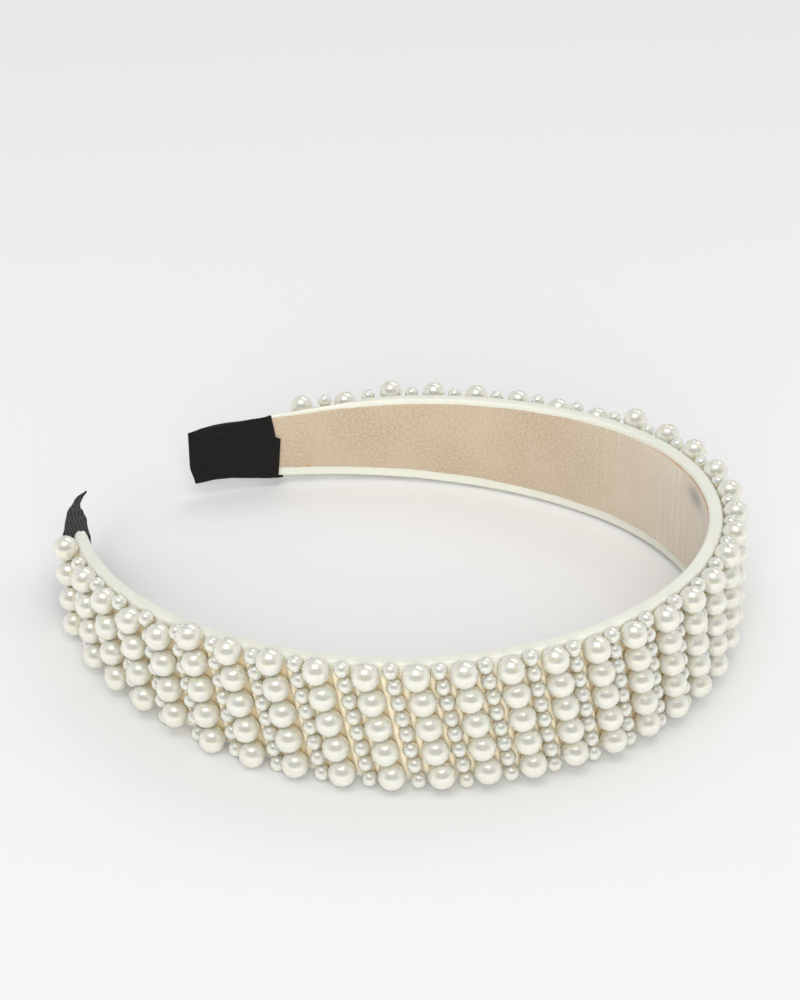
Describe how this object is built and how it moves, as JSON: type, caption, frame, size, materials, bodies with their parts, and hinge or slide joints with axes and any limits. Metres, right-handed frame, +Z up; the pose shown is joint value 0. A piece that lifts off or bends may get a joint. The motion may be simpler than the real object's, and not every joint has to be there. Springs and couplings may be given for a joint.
{
  "type": "headband",
  "caption": "Padded satin headband covered with slanted strands of pearl beads, with a velour lining and ribbon sleeves on both tips.",
  "frame": {"origin": "bottom centre of the whole headband's box, as it lies on its lower edge", "axes": "+Z up across the band's width; +X from the open tips to the crown; +Y to the left arm"},
  "size_m": [0.1568, 0.143, 0.0322],
  "materials": {
    "large_pearl": "pearl lacquer",
    "seed_pearl": "pearl lacquer",
    "satin_cover": "cream satin",
    "inner_lining": "tan velour",
    "end_sleeve": "black grosgrain",
    "band_core": "moulded",
    "foam_pad": "open-cell foam",
    "edge_stitches": "spun thread"
  },
  "bodies": {
    "right_arm": {"band_core_right": "band_core", "edge_stitches_right": "edge_stitches", "end_sleeve_right": "end_sleeve", "foam_pad_right": "foam_pad", "inner_lining_right": "inner_lining", "pearl_strand_01": "large_pearl", "pearl_strand_02": "large_pearl", "pearl_strand_03": "large_pearl", "pearl_strand_04": "large_pearl", "pearl_strand_05": "large_pearl", "pearl_strand_06": "large_pearl", "pearl_strand_07": "large_pearl", "pearl_strand_08": "large_pearl", "pearl_strand_09": "large_pearl", "pearl_strand_10": "large_pearl", "pearl_strand_11": "large_pearl", "pearl_strand_12": "large_pearl", "pearl_strand_13": "large_pearl", "pearl_strand_14": "large_pearl", "pearl_strand_15": "large_pearl", "pearl_strand_16": "large_pearl", "pearl_strand_17": "large_pearl", "pearl_strand_18": "large_pearl", "satin_cover_right": "satin_cover", "seed_pearls_right_1": "seed_pearl", "seed_pearls_right_2": "seed_pearl", "seed_pearls_right_3": "seed_pearl", "seed_pearls_right_4": "seed_pearl", "seed_pearls_right_5": "seed_pearl", "seed_pearls_right_6": "seed_pearl"},
    "left_arm": {"band_core_left": "band_core", "edge_stitches_left": "edge_stitches", "end_sleeve_left": "end_sleeve", "foam_pad_left": "foam_pad", "inner_lining_left": "inner_lining", "pearl_strand_19": "large_pearl", "pearl_strand_20": "large_pearl", "pearl_strand_21": "large_pearl", "pearl_strand_22": "large_pearl", "pearl_strand_23": "large_pearl", "pearl_strand_24": "large_pearl", "pearl_strand_25": "large_pearl", "pearl_strand_26": "large_pearl", "pearl_strand_27": "large_pearl", "pearl_strand_28": "large_pearl", "pearl_strand_29": "large_pearl", "pearl_strand_30": "large_pearl", "pearl_strand_31": "large_pearl", "pearl_strand_32": "large_pearl", "pearl_strand_33": "large_pearl", "pearl_strand_34": "large_pearl", "pearl_strand_35": "large_pearl", "satin_cover_left": "satin_cover", "seed_pearls_left_1": "seed_pearl", "seed_pearls_left_2": "seed_pearl", "seed_pearls_left_3": "seed_pearl", "seed_pearls_left_4": "seed_pearl", "seed_pearls_left_5": "seed_pearl", "seed_pearls_left_6": "seed_pearl"}
  },
  "joints": [
    {"name": "band_flex", "type": "hinge", "parent": "right_arm", "child": "left_arm", "pos_m": [0.07842, 0.00135, 0.015], "axis": [0, 0, -1], "range_deg": [0, 16], "stiffness_Nm_per_rad": 0.5}
  ]
}
